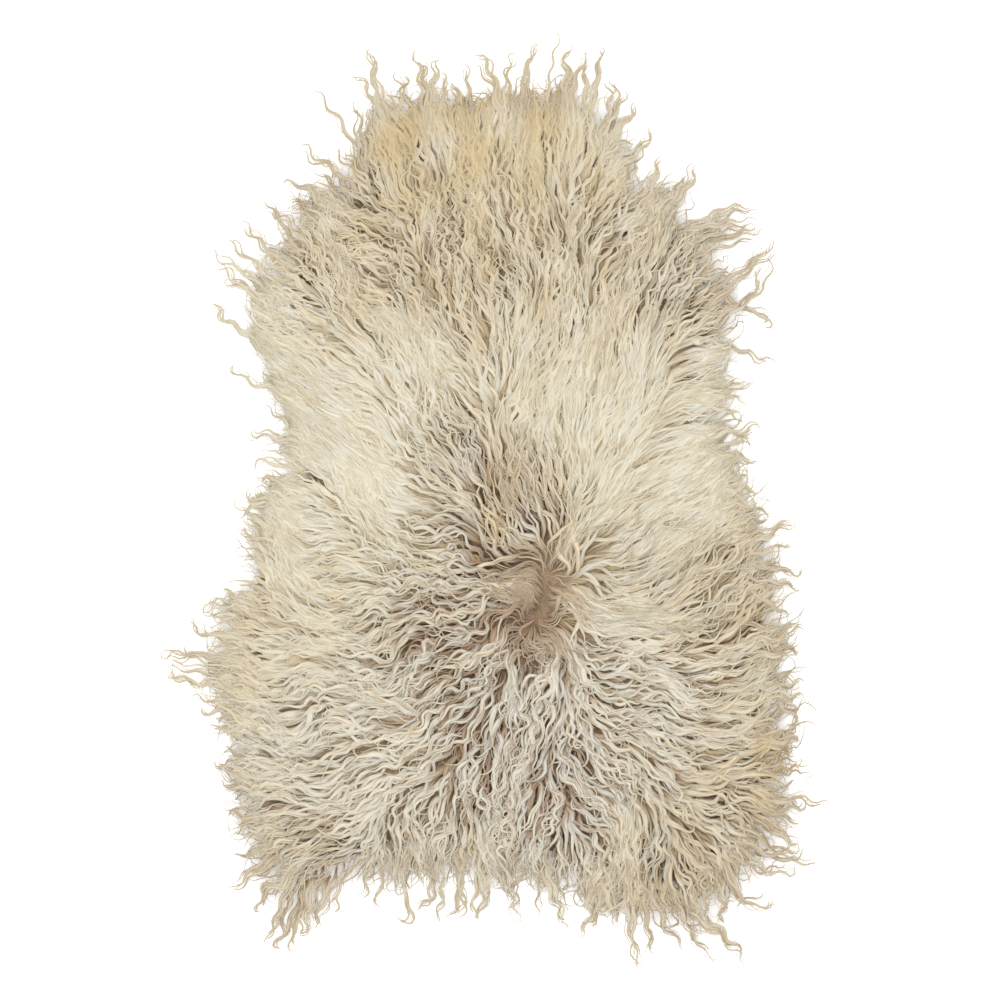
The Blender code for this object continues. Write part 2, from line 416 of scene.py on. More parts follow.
# The parting's own drift of the lie fades out between these distances from it, and it takes
# this far for the zones' turn to set in.
NEAR_FADE = (30 * MM, 80 * MM)
TURN_RUN = 80 * MM

# The length of wool in one wave, and how much shorter it is at the neck, from where and how soon.
CRIMP_LENGTH = 36 * MM
NECK_CRIMP = 0.28
NECK_START = 150 * MM
NECK_RUN = 80 * MM


def smooth(share):
    """An even step from 0 to 1, flat at both its ends."""
    share = np.clip(share, 0.0, 1.0)
    return share * share * (3 - 2 * share)


def fade(distance, near, far):
    """1 up to the near distance and 0 from the far one on, with an even step between."""
    return smooth((far - distance) / (far - near))


def mix(low, high, share):
    return low + (high - low) * share


def unit(vectors):
    return vectors / np.maximum(np.linalg.norm(vectors, axis=-1, keepdims=True), TINY)


def heading(angle):
    """The way at an angle in the plane."""
    return np.stack((np.cos(angle), np.sin(angle)), axis=-1)


def turned(vectors, angle):
    """Plane vectors turned anticlockwise by an angle each."""
    cos, sin = np.cos(angle), np.sin(angle)
    x, y = vectors[..., 0], vectors[..., 1]
    return np.stack((cos * x - sin * y, sin * x + cos * y), axis=-1)


def polar(places):
    return np.arctan2(places[..., 1], places[..., 0]), np.linalg.norm(places, axis=-1)


def drift(name, places):
    """A smooth haphazard value between about minus and plus this drift's strength."""
    strength, size, seed = DRIFTS[name]
    waves = np.random.default_rng(seed)
    total = np.zeros(places.shape[:-1])
    for _ in range(DRIFT_WAVES):
        angle = waves.uniform(0, math.tau)
        pitch = math.tau / (size * waves.uniform(*DRIFT_LENGTHS))
        run = places[..., 0] * math.cos(angle) + places[..., 1] * math.sin(angle)
        total += np.sin(run * pitch + waves.uniform(0, math.tau))
    return strength * total / DRIFT_LEVEL


def zone(field, places):
    """One column of the zones, blended over the fleece."""
    column = ZONE_TABLE[:, PLACE_COLUMNS + ZONE_FIELDS.index(field)]
    apart = places[..., None, :] - ZONE_TABLE[:, :2]
    near = np.exp(-(apart**2).sum(-1) / ZONE_TABLE[:, 2] ** 2) + LEAST_WEIGHT
    return ((near * column).sum(-1) + FAR_WEIGHT * column.mean()) / (near.sum(-1) + FAR_WEIGHT)


def ring_of(height):
    """The solid's points at this height, as angles and reaches round the origin."""
    points = np.array([v.co for v in skin_node.data.vertices])
    points = points[np.abs(points[:, 2] - height) < RING_SLACK]
    points = np.unique(np.round(points[:, :2], 6), axis=0)
    angles, reaches = polar(points)
    order = np.argsort(angles)
    return angles[order], reaches[order]


HIDE_RING = ring_of(0.0)
RIM_RING = ring_of(FRINGE_LIFT)


def hide_reach(angle):
    return np.interp(angle, *HIDE_RING, period=math.tau)


def fleece_reach(angle):
    """How far out the dense fleece comes, without its tufts."""
    angles, reaches = RIM_RING
    gap = (reaches < np.roll(reaches, 1)) & (reaches < np.roll(reaches, -1))
    return np.interp(angle, angles[gap], reaches[gap] + GAP_FILL, period=math.tau)


def inside_hide(places):
    """How far inside the hide's edge each place is, about."""
    angle, reach = polar(places)
    return hide_reach(angle) - reach


def edge_normal(places):
    """The way straight out over the nearest stretch of the hide's edge."""
    angle, _ = polar(places)
    before, after = hide_reach(angle - EDGE_STEP), hide_reach(angle + EDGE_STEP)
    reach = (after + before + hide_reach(angle)) / 3
    slope = (after - before) / (2 * EDGE_STEP)
    outward = heading(angle)
    along = heading(angle + math.pi / 2)
    return unit(outward * reach[..., None] - along * slope[..., None])


def away_from(low, high, places):
    """The way from the nearest point of a line between two points to each place."""
    line = high - low
    share = np.clip((places - low) @ line / (line @ line), 0, 1)
    return places - (low + share[..., None] * line)


def from_whorl(places):
    """The way out from the nearest point of the swaying parting, and how far away that is."""
    sway = (drift("sway across", places), drift("sway along", places))
    away = away_from(WHORL_LOW, WHORL_HIGH, places + np.stack(sway, axis=-1))
    return unit(away), np.linalg.norm(away, axis=-1)


def clear_of_parting(places):
    """Which places lie clear of the parting and of the seam below it."""
    _, distance = from_whorl(places)
    seam = np.linalg.norm(away_from(SEAM_FOOT, WHORL_LOW, places), axis=-1)
    return (distance > PARTING_CLEAR) & (seam > PARTING_CLEAR)


def lie(places):
    """Which way the wool lies at each place."""
    outward, distance = from_whorl(places)
    edge = EDGE_TURN * fade(inside_hide(places), 0, EDGE_BAND)[..., None]
    way = unit(mix(outward, edge_normal(places), edge))
    bend = np.radians(zone("turn", places)) + drift("slow lie", places)
    bend += drift("loose lie", places) * zone("loose", places)
    near = drift("lie near parting", places) * fade(distance, *NEAR_FADE)
    return turned(way, bend * smooth(distance / TURN_RUN) + near)


def crimp(places):
    """The length of wool in one wave at each place."""
    neck = smooth((places[..., 1] - NECK_START) / NECK_RUN)
    return CRIMP_LENGTH * (1 - NECK_CRIMP * neck)


# ---------------------------------------------------------------- the height of the pile

GRID_STEP = 5 * MM
GRID_MARGIN = 60 * MM
GRID_SMOOTHINGS = 2
ABOVE_ALL = 1.0

# The matted underwool lies this far below the top of the pile, but only this share of it at
# the parting, up to this distance, and less where the pile is lower than this.
UNDERWOOL_SINK = 10 * MM
PARTING_SINK = 0.45
PARTING_RUN = 70 * MM
THICK_PILE = 30 * MM

# At the hide's edge it is lower by this share, and that fades out this far inside the edge.
EDGE_THINNING = 0.55
EDGE_THINNING_RUN = 28 * MM

# How open the wool is where the underwool is pale, and how much more where it is brown.
CLOSED_RELIEF = 0.15
OPEN_RELIEF = 1.25


def height_grid():
    """The height of the top of the skin's solid, sampled on a grid from straight above."""
    tree = BVHTree.FromPolygons(
        [v.co for v in skin_node.data.vertices],
        [tuple(p.vertices) for p in skin_node.data.polygons],
    )
    low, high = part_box("sheepskin")
    xs = np.arange(low.x - GRID_MARGIN, high.x + GRID_MARGIN, GRID_STEP)
    ys = np.arange(low.y - GRID_MARGIN, high.y + GRID_MARGIN, GRID_STEP)
    grid = np.zeros((len(xs), len(ys)))
    for i, x in enumerate(xs):
        for j, y in enumerate(ys):
            hit = tree.ray_cast(Vector((x, y, ABOVE_ALL)), Vector((0, 0, -1)))[0]
            grid[i, j] = hit.z if hit else 0.0
    # Each height is evened out with its four neighbours', and counts twice itself.
    for _ in range(GRID_SMOOTHINGS):
        around = grid[:-2, 1:-1] + grid[2:, 1:-1] + grid[1:-1, :-2] + grid[1:-1, 2:]
        grid[1:-1, 1:-1] = (grid[1:-1, 1:-1] * 2 + around) / 6
    return xs[0], ys[0], grid


GRID_X, GRID_Y, GRID = height_grid()


def pile_top(places):
    """The height of the top of the wool at each place."""
    # The grid's last points, or just before them, so that each place lies inside a cell.
    last = np.array(GRID.shape) - 1.001
    across = np.clip((places[..., 0] - GRID_X) / GRID_STEP, 0, last[0])
    up = np.clip((places[..., 1] - GRID_Y) / GRID_STEP, 0, last[1])
    i, j = across.astype(int), up.astype(int)
    near = mix(GRID[i, j], GRID[i, j + 1], up - j)
    far = mix(GRID[i + 1, j], GRID[i + 1, j + 1], up - j)
    return mix(near, far, across - i)


def relief(places):
    """How open the wool is: silky wool lies close, and between the brown locks it is deep."""
    return CLOSED_RELIEF + OPEN_RELIEF * zone("brown", places)


def under_top(places):
    """The top of the matted underwool, out of which the locks rise."""
    top = pile_top(places)
    _, distance = from_whorl(places)
    sink = UNDERWOOL_SINK * mix(PARTING_SINK, 1, smooth(distance / PARTING_RUN)) * relief(places)
    thinning = 1 - EDGE_THINNING * fade(inside_hide(places), 0, EDGE_THINNING_RUN)
    return (top - sink * smooth(top / THICK_PILE)) * thinning


# ---------------------------------------------------------------- roots

# Roots stand in rows of even triangles, each moved by up to this share of their spacing.
ROW_SHARE = math.sqrt(0.75)
ROOT_JITTER = 0.45

# Up to this far from the parting this share of roots is added.
CROWDED_REACH = 85 * MM
CROWDED_SHARE = 0.6

# A place is bare with less than this share of the usual cover, and less so where it is brown.
COVER_CELL = 7 * MM
BARE_COVER = 0.5
PALE_ALLOWANCE = 1.25
BROWN_ALLOWANCE = 0.8

UPSTREAM_STEPS = 4

# Wool beside the seam turns away by this angle, in radians, fully from this far aside on, and
# that sets in over this far below the whorl.
SEAM_TURN = 0.75
SEAM_WIDTH = 4 * MM
SEAM_RUN = 12 * MM


def roots_over(spacing, inset):
    """Roots all over the hide, about this far apart and this far inside its edge."""
    low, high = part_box("sheepskin")
    xs = np.arange(low.x, high.x, spacing)
    ys = np.arange(low.y, high.y, spacing * ROW_SHARE)
    grid = np.array([(x + (n % 2) * spacing / 2, y) for n, y in enumerate(ys) for x in xs])
    grid += dice.uniform(-ROOT_JITTER, ROOT_JITTER, grid.shape) * spacing
    return grid[inside_hide(grid) > inset]


def fleece_roots(spacing):
    """Roots all over the fleece, but not at the parting, and closer together round it."""
    usual = roots_over(spacing, inset=0)
    extra = roots_over(spacing, inset=0)
    _, distance = from_whorl(extra)
    extra = extra[distance < CROWDED_REACH]
    roots = np.concatenate((usual, extra[dice.random(len(extra)) < CROWDED_SHARE]))
    return roots[clear_of_parting(roots)]


def edge_roots(spacing, outside, inside):
    """Roots in a band along the hide's edge."""
    roots = roots_over(spacing, -outside)
    return roots[inside_hide(roots) < inside]


def bare_places(layers, spacing):
    """Places of the fleece that few of these layers' strands lie over."""
    # The thin ends of the strands don't count.
    lines = np.concatenate([layer.lines[:, 2:-2, :2].reshape(-1, 2) for layer in layers])
    areas = [layer.widths[:, 2:-2] * layer.lengths[:, None] / len(layer.shares) for layer in layers]
    low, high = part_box("sheepskin")
    columns = round((high.x - low.x) / COVER_CELL)
    rows = round((high.y - low.y) / COVER_CELL)
    cover = np.histogram2d(
        lines[:, 0], lines[:, 1], bins=(columns, rows), range=((low.x, high.x), (low.y, high.y)),
        weights=np.concatenate([area.ravel() for area in areas]),
    )[0]
    around = [np.roll(cover, step, axis) for axis in (0, 1) for step in (1, -1)]
    cover = sum(around, start=cover) / 5
    places = roots_over(spacing, inset=-10 * MM)
    i = np.clip(((places[:, 0] - low.x) / COVER_CELL).astype(int), 0, columns - 1)
    j = np.clip(((places[:, 1] - low.y) / COVER_CELL).astype(int), 0, rows - 1)
    found = cover[i, j]
    allowance = PALE_ALLOWANCE - BROWN_ALLOWANCE * zone("brown", places)
    return places[found < BARE_COVER * np.median(found) * allowance]


def upstream(places, length):
    """Where strands must have their roots to lie over these places with that much of them."""
    roots = places
    for _ in range(UPSTREAM_STEPS):
        roots = roots - lie(roots) * length / UPSTREAM_STEPS
    return roots[clear_of_parting(roots)]


def parting_roots(low, high, number, near, far):
    """Roots all round a stretch of the parting, between two distances from it."""
    spine = low + dice.random((number, 1)) * (high - low)
    angle = (np.arange(number) + dice.random(number)) * math.tau / number
    reach = dice.uniform(near, far, number)
    return spine + heading(angle) * reach[:, None]


def off_the_seam(roots):
    """How far wool beside the seam turns away from it, to its own side."""
    seam = SEAM_FOOT - WHORL_LOW
    apart = roots - WHORL_LOW
    side = (apart[:, 1] * seam[0] - apart[:, 0] * seam[1]) / np.linalg.norm(seam)
    return SEAM_TURN * np.clip(side / SEAM_WIDTH, -1, 1) * smooth(-apart[:, 1] / SEAM_RUN)


def in_clumps(clumps, children, spread):
    """Roots around their clumps, children to each: the roots, and their clump's own root."""
    middles = np.repeat(clumps, children, axis=0)
    angle = dice.uniform(0, math.tau, len(middles))
    reach = spread * np.sqrt(dice.random(len(middles)))
    return middles + heading(angle) * reach[:, None], middles


# ---------------------------------------------------------------- combing

# The wool near the edge draws together this share of the way out along each tuft that is as
# broad as this. A strand ends this unevenly there, and is drawn in fully and not at all at two
# distances, along its length by its share to this power. The nearest tuft is a matter of chance.
BROAD_TUFT = 8 * MM
GATHERING_SHARE = 0.22
GATHERING = mix(TUFT_EDGES, TUFT_TIPS, GATHERING_SHARE)[TUFT_WIDTHS >= BROAD_TUFT]
GATHERING_SPREAD = 4 * MM
GATHERING_CHANCE = 14 * MM
GATHERING_FADE = (13.5 * MM, 58.5 * MM)
GATHERING_CURVE = 1.6

# Strands end this unevenly at the fleece's edge, and keep this share of their length at least.
EDGE_CHANCE = 30 * MM
LEAST_KEPT = 0.25

# A strand's points stand at even shares of its length to this power, closer at its tip.
POINT_CURVE = 0.92

# Wool is silky up to the first of these swings and crimped from the second on.
SILKY_WAVES = (0.32, 0.66)

# Waves follow each other this much closer round the whorl than along a strand. They differ by
# chance, more where the wool is loose, and from patch to patch.
WAVES_CLOSER = 0.93
PHASE_CHANCE = 0.3
LOOSE_PHASE = 0.5
PATCH_PHASE = 1.2
PITCH_CHANCE = (-0.08, 0.08)
SWING_CHANCE = (-0.45, 0.35)
BEND_CHANCE = 0.18
HOOK_CHANCE = 1.3

# This share of the loose clumps waves the other way.
CONTRARY_SHARE = 0.6

# Clumps cross each other near the parting by this angle, which sets in and fades out again.
CROSSING = 0.3
CROSSING_START = (10 * MM, 22 * MM)
CROSSING_END = (20 * MM, 70 * MM)

# A strand is at most this much longer than the way to the edge, which counts this at least.
LENGTH_CHANCE = (0.75, 1.25)
EDGE_EXCESS = 1.25
LEAST_WAY = 25 * MM

# The crimp starts with this share of its swing and has all of it after this share of a strand,
# and on average it is this share of the zone's. From its start on, the tip's curl grows by a
# power. A clump's strands are closed up at the next share. Strands are left out where the wool
# is brown, by its brownness to the last power.
ROOT_SWING = 0.35
SWING_RUN = 0.4
MEAN_SWING = 0.85
CURL_START = 0.62
CURL_CURVE = 1.5
CLOSING_RUN = 0.9
THINNING_CURVE = 1.5

# Depths in the pile are chance to this power, and less by this share at a strand's tip. A
# strand rises out of the underwool over such a share of it, and much sooner at the parting. Its
# waves rise and fall by this height, in step with their swing up to the greatest.
DEPTH_CURVE = 1.5
TIP_DEPTH_LOSS = 0.5
RISE_CHANCE = (0.3, 0.6)
PARTING_RISE = 0.2
PARTING_RISE_RUN = 55 * MM
CREST_HEIGHT = 1 * MM
GREATEST_SWING = 1.2

# Widths: by chance, at the root, towards the tip, uneven along the strand, and the thinnest.
WIDTH_CHANCE = (0.6, 1.4)
ROOT_WIDTH = 0.2
TIP_CURVE = 0.8
UNEVEN_WIDTH = 0.18
UNEVEN_WAVE, UNEVEN_PHASE = 0.77, 1.7
THINNEST = 0.13

# A strand's middle lies at least this share of its width and this much more above the floor.
CLEAR_SHARE = 0.3
CLEAR_OF_FLOOR = 0.3 * MM

# Tones: by chance, darker the deeper a strand lies, as painted shade in the pile, and within these
# limits.
TONE_CHANCE = 0.45
DEPTH_SHADE, MEAN_DEPTH = 0.9, 0.4
TONE_LIMITS = (-1.8, 1.2)

# Gold shows this much more on bright strands.
BRIGHT_GOLD = 0.12

# Silky strands are flatter by this share, and brown wool rounder, between two shares. Its
# normals lean to its sides by an angle between two, in degrees.
SILKY_FLATNESS = 0.45
BROWN_ROUNDNESS = (0.8, 1.2)
LEAN = (30, 60)


@dataclass
class Strands:
    """Many strands of wool: their centre lines, their widths and what tints them."""

    lines: np.ndarray
    widths: np.ndarray
    bold: np.ndarray
    lengths: np.ndarray
    tone: np.ndarray
    flat: np.ndarray
    lean: np.ndarray
    shares: np.ndarray
    # The share of the zones' gold that shows on these strands.
    gilt: float = 1.0

    def part(self, keep):
        """Only those strands that keep marks."""
        rows = ("lines", "widths", "bold", "lengths", "tone", "flat", "lean")
        return replace(self, **{row: getattr(self, row)[keep] for row in rows})

    def gold(self):
        places = self.lines[..., :2]
        golden = zone("gold", places) * (1 + drift("gold", places))
        return np.clip(golden + BRIGHT_GOLD * self.tone[:, None], 0, 1) * self.gilt

    def brown(self):
        return zone("brown", self.lines[..., :2])


@dataclass
class Growth:
    """How strands grow, a value for each.

    Phase is where in a wave a strand starts, pitch the wool's length in one wave, swing the
    crimp's greatest turn off the lie, bend a steady turn to one side, hook how far the tip
    turns at last, and shift how its clump differs from the next one.
    """

    distance: np.ndarray
    silky: np.ndarray
    phase: np.ndarray
    shift: np.ndarray
    pitch: np.ndarray
    swing: np.ndarray
    bend: np.ndarray
    hook: np.ndarray
    lengths: np.ndarray

    def part(self, keep):
        return Growth(*(values[keep] for values in vars(self).values()))


def growth_of(roots, clumps, style, aside):
    """How the strands of this style grow from these roots, turned aside by these angles."""
    number, unruly = len(roots), style.unruly
    loose, waved = zone("loose", roots), zone("wave", roots)
    _, distance = from_whorl(roots)
    group = np.unique(clumps, axis=0, return_inverse=True)[1].ravel()
    groups = group.max() + 1
    # Neighbours wave side by side, and the more so the silkier the wool.
    phase = math.tau * distance / (WAVES_CLOSER * crimp(clumps))
    phase += drift("clump phase", clumps)
    phase += unruly * dice.normal(0, PHASE_CHANCE, number)
    phase += unruly * dice.normal(0, LOOSE_PHASE, number) * loose
    # Some clumps wave the other way, which leaves lens-shaped gaps beside them.
    contrary = dice.random(groups)[group] < CONTRARY_SHARE * loose * unruly
    shift = style.patch * dice.normal(0, 1, groups)[group]
    phase += math.pi * contrary + PATCH_PHASE * shift
    pitch = crimp(clumps) * (1 + drift("pitch", clumps))
    pitch *= 1 + unruly * dice.uniform(*PITCH_CHANCE, number)
    swing = style.swing * waved * (1 + unruly * dice.uniform(*SWING_CHANCE, number))
    bend = style.stray * loose * unruly * dice.normal(0, BEND_CHANCE, number)
    crossing = CROSSING * (1 - fade(distance, *CROSSING_START)) * fade(distance, *CROSSING_END)
    bend += crossing * dice.normal(0, 1, groups)[group] + aside
    hook = style.curl * loose * dice.normal(0, HOOK_CHANCE, number)
    angle, reach = polar(roots)
    way = np.maximum(fleece_reach(angle) + style.over - reach, LEAST_WAY)
    lengths = style.length * dice.uniform(*LENGTH_CHANCE, number)
    lengths = np.minimum(lengths, EDGE_EXCESS * way)
    silky = fade(waved, *SILKY_WAVES)
    return Growth(distance, silky, phase, shift, pitch, swing, bend, hook, lengths)


def grow(roots, shares, growth):
    """Lines in plan that grow from their roots the way the wool lies, swinging to both sides."""
    lines = np.empty((len(roots), len(shares), 2))
    lines[:, 0] = roots
    for k in range(1, len(shares)):
        share = (shares[k] + shares[k - 1]) / 2
        here = lines[:, k - 1]
        wave = math.tau * share * growth.lengths / growth.pitch + growth.phase
        wave += drift("phase", here)
        grown = mix(ROOT_SWING, 1, smooth(share / SWING_RUN))
        grown *= MEAN_SWING + drift("swing", here)
        curled = smooth((share - CURL_START) / (1 - CURL_START)) ** CURL_CURVE
        turn = growth.swing * grown * np.sin(wave) + growth.bend + growth.hook * curled
        step = growth.lengths * (shares[k] - shares[k - 1])
        lines[:, k] = here + turned(lie(here), turn) * step[:, None]
    return lines


def held_back(lines, over):
    """Lines that would end further past the dense fleece than this are drawn in."""
    angle, reach = polar(lines[:, -1])
    limit = fleece_reach(angle) + over - dice.uniform(0, EDGE_CHANCE, len(lines))
    limit += drift("fringe", lines[:, -1])
    root_reach = np.linalg.norm(lines[:, 0], axis=-1)
    kept = (limit - root_reach) / np.maximum(reach - root_reach, TINY)
    return lines[:, :1] + (lines - lines[:, :1]) * kept.clip(LEAST_KEPT, 1)[:, None, None]


def drawn_to_tufts(lines, shares, pull):
    """Lines that end near a tuft are drawn towards it."""
    ends = lines[:, -1]
    apart = np.linalg.norm(ends[:, None] - GATHERING, axis=-1)
    apart += dice.uniform(0, GATHERING_CHANCE, apart.shape)
    place = GATHERING[apart.argmin(axis=1)] + dice.normal(0, GATHERING_SPREAD, ends.shape)
    strength = pull * fade(apart.min(axis=1), *GATHERING_FADE)
    draw = strength[:, None] * shares**GATHERING_CURVE
    return lines + (place - ends)[:, None] * draw[..., None]


def off_the_floor(lines, height, widths):
    """Lines in plan raised to this height, but no lower than the strands are thick."""
    height = np.maximum(height, CLEAR_SHARE * widths + CLEAR_OF_FLOOR)
    return np.concatenate((lines, height[..., None]), axis=-1)


def comb(roots, clumps, style, aside=0.0):
    """Strands that grow from their roots in clumps, crimped, and closing to curled tips.

    Clumps is where the clump that each strand belongs to has its root, and aside how far the
    strand turns off the way the wool lies.
    """
    growth = growth_of(roots, clumps, style, aside)
    shares = np.linspace(0, 1, style.points) ** POINT_CURVE
    closing = style.close * smooth(shares / CLOSING_RUN)
    lines = grow(roots, shares, growth) + (clumps - roots)[:, None] * closing[:, None]
    brown = zone("brown", lines[:, style.points // 2])
    stays = dice.random(len(roots)) > style.thin * brown**THINNING_CURVE
    growth, roots, brown, lines = growth.part(stays), roots[stays], brown[stays], lines[stays]
    lines = drawn_to_tufts(held_back(lines, style.over), shares, style.pull)
    number = len(lines)
    wave = math.tau * shares * growth.lengths[:, None] / growth.pitch[:, None]
    wave += growth.phase[:, None]
    # Height: up out of the underwool, then on the pile, tips over the roots beyond them.
    under = under_top(lines)
    depth = style.sink * dice.random((number, 1)) ** DEPTH_CURVE
    above = (style.lift - depth * (1 - TIP_DEPTH_LOSS * shares)) * relief(lines)
    sooner = mix(PARTING_RISE, 1, smooth(growth.distance / PARTING_RISE_RUN))[:, None]
    rise = smooth(shares / (dice.uniform(*RISE_CHANCE, (number, 1)) * sooner))
    crest = CREST_HEIGHT * np.clip(growth.swing, 0, GREATEST_SWING) * (1 - growth.silky)
    height = mix(under, pile_top(lines) + above, rise) + crest[:, None] * np.cos(wave) * rise
    # Width: thin where it leaves the underwool, soon at its widest, and down to a fine tip.
    bold = style.width * dice.uniform(*WIDTH_CHANCE, number) * zone("bold", roots)
    bold *= (1 - style.slim * brown) * (1 + style.silk * growth.silky)
    shape = mix(ROOT_WIDTH, 1, smooth(shares / style.swell))
    shape = shape * np.clip((1 - shares) / style.taper, 0, 1) ** TIP_CURVE
    uneven = 1 + UNEVEN_WIDTH * np.sin(wave * UNEVEN_WAVE + UNEVEN_PHASE * growth.phase[:, None])
    widths = bold[:, None] * np.maximum(shape * uneven, THINNEST)
    tone = dice.normal(0, TONE_CHANCE, number) + growth.shift
    # Painted shade: the deeper a strand lies in the pile, the darker its tone.
    tone -= DEPTH_SHADE * (depth[:, 0] / style.sink - MEAN_DEPTH)
    return Strands(
        lines=off_the_floor(lines, height, widths),
        widths=widths,
        bold=bold,
        lengths=growth.lengths,
        tone=(tone * (1 + brown)).clip(*TONE_LIMITS),
        flat=style.flat * (1 - SILKY_FLATNESS * growth.silky) * mix(*BROWN_ROUNDNESS, brown),
        lean=np.radians(mix(*LEAN, brown)),
        shares=shares,
    )


# ---------------------------------------------------------------- the fringe's tufts

# A tuft has one broad strand and one fine hair for so much of its width, but no fewer and no
# more than these. They are about as thick as this.
BROAD_STRANDS = (3.8 * MM, 1, 3)
FINE_HAIRS = (2.6 * MM, 2, 5)
BROAD_WIDTH = 4.2 * MM
HAIR_WIDTH = 1.3 * MM
TUFT_WIDTH_CHANCE = (0.7, 1.35)
THINNEST_TIP = 0.5 * MM
TUFT_POINTS = 22

# Its strands start this far inside the fleece's edge, and end at such a share of its reach.
TUFT_START = 45 * MM
START_CHANCE = (0.6, 1.2)
REACH_CHANCE = (0.72, 1.0)

# Its waves, from tuft to tuft and from strand to strand, and how they grow on the way out.
TUFT_PITCH = (24 * MM, 36 * MM)
STRAND_PITCH = (0.95, 1.05)
STRAND_PHASE = 0.7
TUFT_SWING = (0.6, 1.25)
EDGE_SWING, TIP_SWING = 0.4, 1.2
HOOK_RANGE = (0.6, 1.2)
HOOK_START = 0.6

# Its strands stand apart within this share of its width, and their tips by this distance.
SIDEWAYS = 0.65
SIDEWAYS_CURVE = 1.1
TIPS_APART = 1.9 * MM

# It rises over this share of its length, lies on the pile, and droops to its tip.
TUFT_DEPTH = 1.5 * MM
TUFT_RISE = 0.25
TUFT_LIFT = 0.6 * MM
TIP_HEIGHT = 1.2 * MM
DROOP = 1.15
TUFT_CREST = 0.8 * MM

# Shapes of its strands: the share of the width at the root, how soon it is full, and how the
# tip thins. And what tints them: they are bright, with little of the zones' gold.
TUFT_ROOT = 0.25
TUFT_SWELL = 0.2
TUFT_BLUNT = 1.1
TUFT_FULL = 0.9
TUFT_TONE = 0.4
TUFT_GILT = 0.6
TUFT_FLAT = 0.4
TUFT_LEAN = math.radians(35)


def tuft_rows(room, fewest, most):
    """A row of the tufts' table for each strand, of which one takes up this much room."""
    number = np.clip(np.round(TUFT_WIDTHS / room), fewest, most).astype(int)
    return np.repeat(np.arange(len(TUFTS)), number)


def tufts():
    """The fringe's longest tufts: a few wavy strands and some fine hairs, with curled tips."""
    broad = tuft_rows(*BROAD_STRANDS)
    rows = np.concatenate((broad, tuft_rows(*FINE_HAIRS)))
    number, each = len(rows), (len(rows), 1)
    edge, tip = TUFT_EDGES[rows], TUFT_TIPS[rows]
    tip = edge + (tip - edge) * dice.uniform(*REACH_CHANCE, each)
    run = np.linalg.norm(tip - edge, axis=-1)[:, None]
    ahead = unit(tip - edge)
    inner = TUFT_START * dice.uniform(*START_CHANCE, number)[:, None]
    shares = np.linspace(0, 1, TUFT_POINTS)
    travelled = shares * (inner + run) - inner
    out = np.clip(travelled / run, 0, 1)
    pitch = dice.uniform(*TUFT_PITCH, len(TUFTS))[rows, None] * dice.uniform(*STRAND_PITCH, each)
    phase = dice.uniform(0, math.tau, len(TUFTS))[rows, None] + dice.normal(0, STRAND_PHASE, each)
    swing = dice.uniform(*TUFT_SWING, len(TUFTS))[rows, None] * mix(EDGE_SWING, TIP_SWING, out)
    wave = math.tau * travelled / pitch + phase
    turn = swing * np.sin(wave)
    turn += TUFT_BOWS[rows, None] * math.pi / run * np.cos(math.pi * out) * (travelled > 0)
    hooked = smooth((out - HOOK_START) / (1 - HOOK_START))
    turn += TUFT_HOOKS[rows, None] * dice.uniform(*HOOK_RANGE, each) * hooked
    # The line follows the turns, and is then set right so that it ends at its tip.
    middle = (turn[:, 1:] + turn[:, :-1]) / 2
    steps = turned(ahead[:, None], middle) * np.diff(travelled, axis=1)[..., None]
    start = edge - ahead * inner
    lines = np.cumsum(np.concatenate((start[:, None], steps), axis=1), axis=1)
    lines += (tip - lines[:, -1])[:, None] * shares[:, None]
    apart = (dice.uniform(-SIDEWAYS, SIDEWAYS, number) * TUFT_WIDTHS[rows])[:, None]
    apart = apart * (1 - out) ** SIDEWAYS_CURVE + dice.normal(0, TIPS_APART, each) * out**2
    lines += turned(ahead, math.pi / 2)[:, None] * apart[..., None]
    depth = dice.uniform(0, TUFT_DEPTH, each)
    risen = smooth(shares / TUFT_RISE)
    inside = mix(under_top(lines), pile_top(lines) + TUFT_LIFT - depth, risen)
    droop = (pile_top(edge)[:, None] - depth) * (1 - smooth(out * DROOP))
    droop += TIP_HEIGHT + TUFT_CREST * np.cos(wave)
    height = np.where(travelled < 0, inside, droop)
    thickness = np.where(np.arange(number) < len(broad), BROAD_WIDTH, HAIR_WIDTH)
    bold = thickness * dice.uniform(*TUFT_WIDTH_CHANCE, number)
    shape = smooth(TUFT_ROOT + shares / TUFT_SWELL)
    shape = shape * np.clip(TUFT_BLUNT - out, 0, TUFT_FULL) ** TIP_CURVE
    widths = np.maximum(bold[:, None] * shape, THINNEST_TIP)
    return Strands(
        lines=off_the_floor(lines, height, widths),
        widths=widths,
        bold=bold,
        lengths=(inner + run)[:, 0],
        tone=dice.normal(0, TUFT_TONE, number).clip(-1, 1),
        flat=np.full(number, TUFT_FLAT),
        lean=np.full(number, TUFT_LEAN),
        shares=shares,
        gilt=TUFT_GILT,
    )


# ---------------------------------------------------------------- strands to meshes

SIDES = 3

# The ends of a tube in its maps, just before and after its length. And how wide a strand's map
# is for its width, how far apart two maps in millimetres lie, how much taller than wide a cell
# of the map of all strands side by side is, and the cell's part that is used and its margin.
FIRST_END = np.array(((0.0, -0.06), (0.5, -0.02), (1.0, -0.06)))
LAST_END = np.array(((0.0, 1.02), (0.5, 1.06), (1.0, 1.02)))
MAP_WIDTH = 1.5
MAPS_APART = (37.0, 11.0)
CELL_TALLNESS = 8
CELL_USED = (0.88, 0.86)
CELL_MARGIN = (0.06, 0.07)

# How much straight up is mixed into the normals of a strand's crown.
CROWN_UP = (0.0, 0.0, 0.8)


